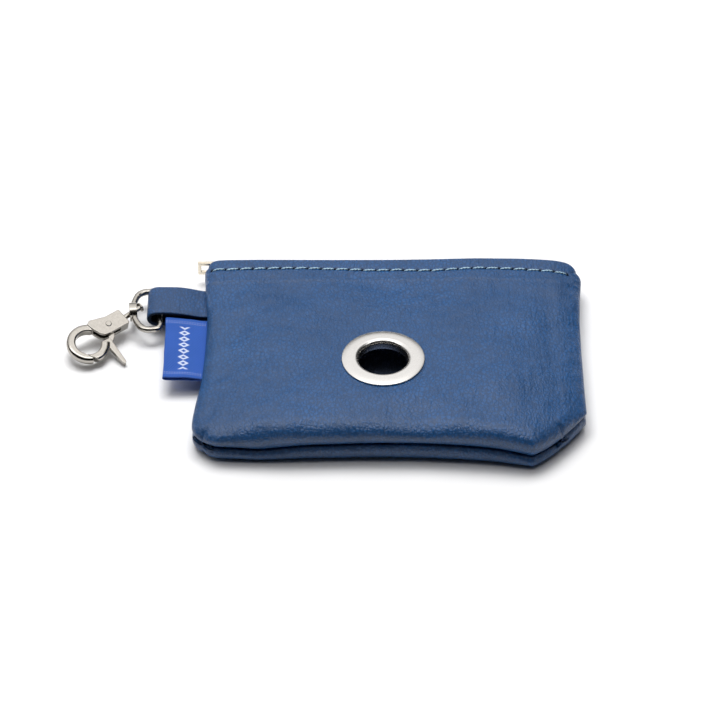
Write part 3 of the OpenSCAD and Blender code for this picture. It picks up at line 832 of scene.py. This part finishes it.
def seam_stitches(name, places, replaced, seed):
    """Seam thread in the crease between the panels, one short stitch at each place."""
    rng = np.random.default_rng(seed)
    parts = []
    for p, along in places:
        k = np.linspace(-1, 1, 9)
        half = 0.85 * rng.uniform(0.9, 1.1)
        path = p + np.outer(k * half, along)
        path[:, 2] += 0.05 * np.sin(k * 3) * rng.uniform(-1, 1)
        parts.append(tube(path, 0.13, 8, twist=5, lobes=0.2))
    points, faces = merged(parts)
    finish_piece(new_object(name, points, faces, SEAM_THREAD), replaced)


def seam_places(run):
    """Each inner point of a run, with the run's direction there."""
    places = []
    for k in range(1, len(run) - 1):
        along = run[k + 1] - run[k - 1]
        places.append((run[k], along / np.linalg.norm(along)))
    return places


# Distance of the seam thread from the outline
SEAM_INSET = 2.3


def seam_run(which, start, stop, count):
    """Points along the seam of one side or the front, from start to stop along it."""
    u = np.linspace(start, stop, count)
    inset = np.full(count, SEAM_INSET)
    if which == "front":
        x, y = plan_point(u, 2 * HALF_W - u, inset, np.full(count, 40.0))
    else:
        far = np.full(count, 2 * HALF_W - SEAM_INSET)
        nl, nr = (inset, far) if which == "left" else (far, inset)
        x, y = plan_point(nl, nr, u, 2 * HALF_D - u)
    return np.stack([x, y, seam_z(x, y)], 1)


seam_stitches("left_seam_stitches", seam_places(seam_run("left", 6, 70, 26)), "left_seam_thread", 31)
seam_stitches("right_seam_stitches", seam_places(seam_run("right", 8, 70, 25)), "right_seam_thread", 32)
seam_stitches("bottom_seam_stitches", seam_places(seam_run("front", 6, 104, 39)), "bottom_seam_thread", 33)

# ---- Eyelet ----


def arc(centre, r, start, stop, steps):
    """Points on a circle between two angles in degrees."""
    a = np.radians(np.linspace(start, stop, steps))
    return [(centre[0] + r * math.cos(t), centre[1] + r * math.sin(t)) for t in a]


def place_on_eyelet(points):
    """From the eyelet's own frame, whose origin is on the leather, to the row frame."""
    c, s = math.cos(tilt), math.sin(tilt)
    turn = np.array([[1, 0, 0], [0, c, s], [0, -s, c]])
    return points @ turn.T + eyelet_centre


# Outlines of radius and height: the flange, its throat and the curl under the washer, and back inside
ring_outline = (
    [(11.96, 0.04), (12.0, 0.16)]
    + arc((11.78, 0.30), 0.22, 0, 70, 5)
    + [(11.5, 0.60), (11.1, 0.72), (10.6, 0.82), (10.0, 0.90), (9.3, 0.94)]
    + arc((8.45, -0.40), 1.36, 82, 180, 20)
    + [(7.05, -1.0), (7.05, -1.7)]
    + arc((7.30, -1.95), 0.25, 180, 262, 5)
    + [(8.0, -2.24), (8.5, -2.22)]
    + arc((8.62, -2.0), 0.2, 270, 360, 4)
    + [(8.78, -1.75), (8.4, -1.68), (7.5, -1.68), (7.45, -1.4), (7.45, 0.0)]
    + [(8.2, 0.45), (9.2, 0.56), (10.6, 0.46), (11.4, 0.28), (11.7, 0.06)]
)
points, faces = lathe(ring_outline, 180)
eyelet = new_object("eyelet_flange", place_on_eyelet(points), faces, EYELET)
finish_piece(eyelet, "eyelet_ring")
washer_outline = [
    (7.6, -1.12), (7.6, -1.55), (8.0, -1.62), (11.2, -1.62),
    (11.42, -1.5), (11.5, -1.35), (11.42, -1.16), (11.2, -1.10),
]
points, faces = lathe(washer_outline, 120)
washer = new_object("eyelet_backing_washer", place_on_eyelet(points), faces, EYELET)
finish_piece(washer, "eyelet_washer")

# ---- Zip ----

tooth_low, tooth_high = box_mm("zip_teeth_front")
ZIP_MID_Z = (tooth_low[2] + box_mm("zip_teeth_back")[1][2]) / 2
ZIP_MID_Y = (tooth_low[1] + tooth_high[1]) / 2
TEETH_X = (tooth_low[0], tooth_high[0])
TAPE_X = (box_mm("zip_tape_front")[0][0], box_mm("zip_tape_front")[1][0])
TEETH_OUT = tooth_high[2] - ZIP_MID_Z
TEETH_IN = tooth_low[2] - ZIP_MID_Z
# Half the tape's thickness, and the nearest and farthest that its flat part lies from the zip's middle
TAPE_HALF = 0.2
TAPE_NEAR = 3.15
TAPE_FAR = 3.45


def zip_tape(name, side, replaced):
    """Woven tape: it lies against the hem, bends down round the fold and ends in the cord of the coil."""
    xs = np.linspace(TAPE_X[0], TAPE_X[1], 120)
    inner_y = zip_y(0) - 8.9
    turn_r = 0.8
    path = []
    for x in xs:
        if side > 0:
            hem = zip_edge_z(x) - HEM - 0.08 - TAPE_HALF
        else:
            hem = underside_lift(x, 0) + HEM + 0.12 + TAPE_HALF
        hem = ZIP_MID_Z + side * min(max(side * (hem - ZIP_MID_Z), TAPE_NEAR), TAPE_FAR)
        row = [(inner_y + (ZIP_MID_Y - turn_r - inner_y) * k, hem) for k in np.linspace(0, 1, 12)]
        for a in np.radians(np.linspace(0, 90, 7)[1:]):
            row.append((ZIP_MID_Y - turn_r + turn_r * math.sin(a), hem - side * turn_r * (1 - math.cos(a))))
        end = ZIP_MID_Z + side * (TEETH_OUT - 0.35)
        last = row[-1][1]
        row += [(ZIP_MID_Y, last + (end - last) * k) for k in np.linspace(0, 1, 6)[1:]]
        path.append(row)
    path = np.array(path)
    ahead = np.gradient(path, axis=1)
    ahead /= np.linalg.norm(ahead, axis=2)[..., None]
    out = np.stack([ahead[..., 1], -ahead[..., 0]], -1) * (-side)
    weave = 0.02 * np.sin(np.arange(path.shape[1]) * 2.1)[None, :]
    outer = path + out * (TAPE_HALF + weave[..., None])
    inner = path - out * TAPE_HALF
    grid_x = np.broadcast_to(xs[:, None], path.shape[:2])
    o = np.stack([grid_x, outer[..., 0], outer[..., 1]], -1)
    i = np.stack([grid_x, inner[..., 0], inner[..., 1]], -1)
    if side > 0:
        o, i = o[:, ::-1], i[:, ::-1]
    mask = np.ones((o.shape[0] - 1, o.shape[1] - 1), bool)
    obj, _ = two_sided(name, o, i, mask, [TAPE, TAPE])
    finish_piece(obj, replaced)


zip_tape("zip_tape_upper", 1, "zip_tape_front")
zip_tape("zip_tape_lower", -1, "zip_tape_back")


def coil_row(name, side, replaced):
    """Moulded coil: one flattened loop for each element, sewn on a cord along the tape's edge."""
    pitch = 1.5
    count = int(2 * TEETH_X[1] / pitch)
    parts = []
    low, high = ZIP_MID_Z + side * (TEETH_IN + 0.22), ZIP_MID_Z + side * (TEETH_OUT - 0.2)
    for k in range(count):
        x = TEETH_X[0] + (k + (0.25 if side > 0 else 0.75)) * pitch
        loop = []
        for a in np.linspace(0, 2 * np.pi, 22, endpoint=False):
            loop.append((
                x + 0.16 * math.sin(2 * a) * 0.6,
                ZIP_MID_Y + 0.52 * math.sin(a),
                (low + high) / 2 - side * 0.5 * abs(high - low) * math.cos(a),
            ))
        parts.append(tube(loop, 0.21, 8, closed=True))
    sides = np.linspace(TEETH_X[0], TEETH_X[1], 160)
    for face in (-1, 1):
        y = ZIP_MID_Y + face * 0.60 + 0.03 * np.sin(sides * 4)
        z = np.full_like(sides, ZIP_MID_Z + side * (TEETH_OUT - 0.55))
        parts.append(tube(np.stack([sides, y, z], 1), 0.10, 6))
    core_z = np.full_like(sides, ZIP_MID_Z + side * (TEETH_OUT - 0.62))
    parts.append(tube(np.stack([sides, np.full_like(sides, ZIP_MID_Y), core_z], 1), 0.33, 8))
    points, faces = merged(parts)
    finish_piece(new_object(name, points, faces, COIL), replaced)


coil_row("zip_coil_upper", 1, "zip_teeth_front")
coil_row("zip_coil_lower", -1, "zip_teeth_back")


# ---- Metal parts that keep their CAD shape ----


def dress(node, material, voxel=0.0, rounds=0):
    """Gives a CAD node its material and, with a voxel size in mm, softened edges."""
    obj = NODES[node]
    obj.data.materials.clear()
    obj.data.materials.append(material)
    if voxel:
        remesh = obj.modifiers.new("soften", "REMESH")
        remesh.mode = "VOXEL"
        remesh.voxel_size = voxel * MM
        remesh.use_smooth_shade = True
        relax = obj.modifiers.new("relax", "SMOOTH")
        relax.factor = 0.5
        relax.iterations = rounds


dress("zip_slider", ZIP_METAL, voxel=0.09, rounds=5)
dress("zip_pull", ZIP_METAL, voxel=0.08, rounds=5)
dress("zip_top_stops", ZIP_METAL, voxel=0.07, rounds=4)
dress("zip_bottom_stop", ZIP_METAL, voxel=0.07, rounds=4)
dress("swivel_eye", CAST, voxel=0.06, rounds=4)
dress("swivel_post", CAST, voxel=0.05, rounds=6)
dress("hook_body", CAST, voxel=0.11, rounds=7)
dress("gate_lever", CAST, voxel=0.10, rounds=6)
dress("gate_rivet", CAST, voxel=0.07, rounds=3)
dress("gate_spring", SPRING)

# ---- Strap ----

strap_low, strap_high = box_mm("strap_loop")
strap_joint = np.array(JOINTS["strap_flex"]["pos_m"]) / MM
STRAP_T = 1.15
# Points across each face of the strap
STRAP_FACE = 26


def strap_path():
    """Middle line of the strap seen from the front: out of the seam, round the eye's bar and back."""
    mid_r = (strap_high[2] - strap_low[2]) / 2 - STRAP_T / 2 - 0.05
    cx, cz = strap_low[0] + mid_r + STRAP_T / 2 + 0.05, strap_joint[2]
    root_x = strap_joint[0] + 5.0
    upper = [
        (root_x, cz + 0.52), (-55.0, cz + 0.62), (-57.2, cz + 1.0), (-60, cz + 1.65),
        (-63.0, cz + 2.15), (-65.8, cz + mid_r + 0.02), (cx + 0.4, cz + mid_r),
    ]
    turn = arc((cx, cz), mid_r, 100, 262, 12)
    lower = [
        (cx + 0.6, cz - mid_r), (-66.0, cz - mid_r + 0.12), (-63, cz - 1.75), (-60, cz - 1.25),
        (-57.2, cz - 0.80), (-55.0, cz - 0.52), (root_x, cz - 0.46),
    ]
    knots = np.array(upper + turn + lower)
    run = np.concatenate([[0], np.cumsum(np.linalg.norm(np.diff(knots, axis=0), axis=1))])
    fine = np.linspace(0, run[-1], 150)
    x = np.interp(fine, run, knots[:, 0])
    z = np.interp(fine, run, knots[:, 1])
    kernel = np.hanning(13)
    kernel /= kernel.sum()
    x = np.convolve(np.pad(x, 6, mode="reflect", reflect_type="odd"), kernel, mode="valid")
    z = np.convolve(np.pad(z, 6, mode="reflect", reflect_type="odd"), kernel, mode="valid")
    return x, z


def build_strap():
    """The doubled strap, with the grain on its outer face and raw leather inside and on its edges."""
    x, z = strap_path()
    ahead = np.stack([np.gradient(x), np.gradient(z)], 1)
    ahead /= np.linalg.norm(ahead, axis=1)[:, None]
    out = np.stack([ahead[:, 1], -ahead[:, 0]], 1)
    y_low, y_high = strap_low[1] + 0.45, strap_high[1] + 0.85
    wob = waves(41, 6, 14)
    # Section of the strap: two faces joined by slightly rounded raw edges
    section = [(t, 0.62 + 0.38 * ease((1 - abs(t)) / 0.09)) for t in np.linspace(-1, 1, STRAP_FACE)]
    section += [(t, -h) for t, h in section[::-1]]
    rows = []
    for k in range(len(x)):
        ring = []
        half = STRAP_T / 2 * (1 - 0.26 * ease((x[k] + 60) / 4))
        for t, share in section:
            h = half * share
            y = (y_low + y_high) / 2 + t * (y_high - y_low) / 2
            y += 0.10 * float(wob(x[k], 5.0 * np.sign(t))) * abs(t)
            bow = 0.10 * (1 - t * t) * ease((x[k] + 70) / 5) * (1 if k < len(x) / 2 else -1)
            px = x[k] + out[k, 0] * h
            pz = z[k] + out[k, 1] * h + bow
            ring.append((px, y, pz))
        rows.append(ring)
    rows = np.array(rows)
    n, m = rows.shape[:2]
    faces, slots = [], []
    for k in range(n - 1):
        for i in range(m):
            j = (i + 1) % m
            faces.append((k * m + i, (k + 1) * m + i, (k + 1) * m + j, k * m + j))
            slots.append(0 if i < STRAP_FACE - 1 else 1)
    faces += [tuple(range(m)), tuple((n - 1) * m + i for i in range(m))[::-1]]
    slots += [1, 1]
    obj = new_object("strap_leather_loop", rows.reshape(-1, 3), faces, [STRAP_LEATHER, RAW_EDGE])
    obj.data.polygons.foreach_set("material_index", slots)
    # No painted hole shade on the strap: the attribute that the leather reads is zero here
    attribute = obj.data.attributes.new("needle", "FLOAT", "POINT")
    attribute.data.foreach_set("value", np.zeros(len(obj.data.vertices), np.float32))
    return obj


strap = build_strap()
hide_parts("strap_loop")
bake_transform(strap)

# ---- Label ----

label_low, label_high = box_mm("woven_label")
label_joint = np.array(JOINTS["label_flex"]["pos_m"]) / MM
RIBBON_T = 0.32
# Length of ribbon held inside the seam, beyond the line it bends on
IN_SEAM = 5.0
# Radius of the fold at the ribbon's outer end
FOLD_R = 0.5
LABEL_MID = ((label_low[0] + label_joint[0]) / 2, (label_low[1] + label_high[1]) / 2, label_joint[2])
RIBBON = ribbon_material("woven_ribbon", (0.024, 0.088, 0.37), LABEL_MID)


def build_label():
    """Ribbon folded once at its outer end, both layers ending in the seam, with softly waved cut sides."""
    reach = label_joint[0] - label_low[0] - 0.25
    root_x = label_joint[0] + IN_SEAM
    rise = math.tan(math.radians(6))
    straight = root_x - label_joint[0] + reach - FOLD_R
    # Place along X, level between the lower layer at -1 and the upper at 1, and share of the reach
    run = [(root_x - straight * k, 1, k) for k in np.linspace(0, 1, 30)]
    for a in np.radians(np.linspace(0, 180, 11)[1:-1]):
        run.append((label_joint[0] - reach + FOLD_R - FOLD_R * math.sin(a), math.cos(a), 1))
    run += [(root_x - straight * k, -1, k) for k in np.linspace(1, 0, 30)]
    wide = np.linspace(-1, 1, 60)
    middle = (label_low[1] + label_high[1]) / 2 + 0.1
    half_w = (label_high[1] - label_low[1]) / 2 + 0.15
    flow = waves(52, 5, 15)
    mids = []
    for x, level, k in run:
        row = []
        for t in wide:
            y = middle + t * half_w - 0.55 * k * (0.5 - 0.5 * t)
            lift = max(0.0, label_joint[0] + 1.2 - x) * rise
            curl = 0.28 * ease((abs(t) - 0.55) / 0.45) * ease(k) * (1 if t < 0 else 0.3)
            wave = 0.16 * ease(k) * float(flow(x * 0.6, y))
            apart = 0.20 + 0.30 * ease((k - 0.2) * 3)
            height = label_joint[2] + lift + level * apart + wave + curl * 0.6
            row.append((x + 0.06 * float(flow(y, 3.0)), y, height))
        mids.append(row)
    mids = np.array(mids)
    normal = np.cross(np.gradient(mids, axis=0), np.gradient(mids, axis=1))
    normal /= np.linalg.norm(normal, axis=2)[..., None]
    outer = mids - normal * RIBBON_T / 2
    inner = mids + normal * RIBBON_T / 2
    # The upper layer's outer face looks up
    if normal[5, 30, 2] >= 0:
        outer, inner = inner[:, ::-1], outer[:, ::-1]
        outer, inner = outer[::-1], inner[::-1]
    mask = np.ones((outer.shape[0] - 1, outer.shape[1] - 1), bool)
    obj, _ = two_sided("folded_ribbon_label", outer, inner, mask, [RIBBON, RIBBON])
    return obj, 2 * (reach + IN_SEAM), 2 * half_w


label, ribbon_length, ribbon_width = build_label()
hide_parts("woven_label")

# ---- Floor, light and camera ----


def floor_material():
    g = Graph("studio_floor", (0.90, 0.90, 0.90), 0.8, specular=0.1)
    paper = g.noise(g.mm, 0.004, 2, 0.5)
    g.colour(g.shade(paper, 0.3, 0.7, (0.862, 0.862, 0.868), (0.872, 0.872, 0.872)))
    return g.material


FLOOR_HALF = 4000
FLOOR_Z = -0.05
ways = (-1, -1), (1, -1), (1, 1), (-1, 1)
floor_corners = [(sx * FLOOR_HALF, sy * FLOOR_HALF, FLOOR_Z) for sx, sy in ways]
floor = new_object("studio_floor", floor_corners, [(0, 1, 2, 3)], floor_material(), smooth=False)


def area_light(name, place, size, power):
    """A rectangular lamp in metres and watts, aimed at the origin."""
    data = bpy.data.lights.new(name, "AREA")
    data.shape = "RECTANGLE"
    data.size, data.size_y = size
    data.energy = power
    obj = bpy.data.objects.new(name, data)
    bpy.context.scene.collection.objects.link(obj)
    obj.location = place
    obj.rotation_euler = (-Vector(place)).to_track_quat("-Z", "Y").to_euler()
    return obj


# The main light is not seen in gloss
softbox = area_light("overhead_softbox", (-0.1, 0.34, 1.08), (0.8, 0.45), 10.3)
softbox.visible_glossy = False
# The pale line along the crest of the leather and on the metal: a strip that is only seen in gloss
sheen = area_light("sheen_strip", (0.0, -0.20, 1.08), (2.4, 0.46), 7.0)
sheen.visible_diffuse = False

world = bpy.data.worlds.new("studio")
bpy.context.scene.world = world
world.use_nodes = True


def tent(tree):
    """A pale tent behind and overhead, brightest at the zenith, and dark in front and at the horizon."""

    def node_math(operation, a, b, c=None):
        node = tree.nodes.new("ShaderNodeMath")
        node.operation = operation
        for socket, value in zip(node.inputs, (a, b, c)):
            if isinstance(value, (int, float)):
                socket.default_value = value
            elif value is not None:
                tree.links.new(value, socket)
        return node.outputs[0]

    def fade(value, low, high, to_low, to_high):
        node = tree.nodes.new("ShaderNodeMapRange")
        node.interpolation_type = "SMOOTHSTEP"
        limits = {"From Min": low, "From Max": high, "To Min": to_low, "To Max": to_high}
        for name, number in limits.items():
            node.inputs[name].default_value = number
        tree.links.new(value, node.inputs["Value"])
        return node.outputs["Result"]

    coords = tree.nodes.new("ShaderNodeTexCoord")
    split = tree.nodes.new("ShaderNodeSeparateXYZ")
    tree.links.new(coords.outputs["Generated"], split.inputs[0])
    height, depth = split.outputs["Z"], split.outputs["Y"]
    front_edge = fade(node_math("MULTIPLY_ADD", height, 0.27, depth), -0.10, 0.14, 0.02, 1.0)
    horizon = fade(node_math("MULTIPLY_ADD", depth, 0.16, height), 0.22, 0.66, 0.03, 1.0)
    zenith = fade(height, 0.68, 0.98, 1.0, 1.45)
    right_side = fade(split.outputs["X"], 0.32, 0.64, 1.0, 0.06)
    strength = node_math("MULTIPLY", front_edge, horizon)
    strength = node_math("MULTIPLY", strength, node_math("MULTIPLY", zenith, right_side))
    background = tree.nodes["Background"]
    background.inputs["Color"].default_value = (1.0, 0.99, 0.99, 1)
    tree.links.new(node_math("MULTIPLY", strength, 1.15), background.inputs["Strength"])


tent(world.node_tree)
bpy.context.scene.view_settings.view_transform = "Standard"

camera_data = bpy.data.cameras.new("camera")
camera_data.sensor_width = 36
camera_data.lens = 173.75
camera_data.clip_start = 0.05
camera_data.clip_end = 30
camera = bpy.data.objects.new("camera", camera_data)
bpy.context.scene.collection.objects.link(camera)
camera.location = (-0.00918, -0.7152, 0.7210)
camera.rotation_euler = (math.radians(45), 0, 0)
bpy.context.scene.camera = camera

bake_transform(label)
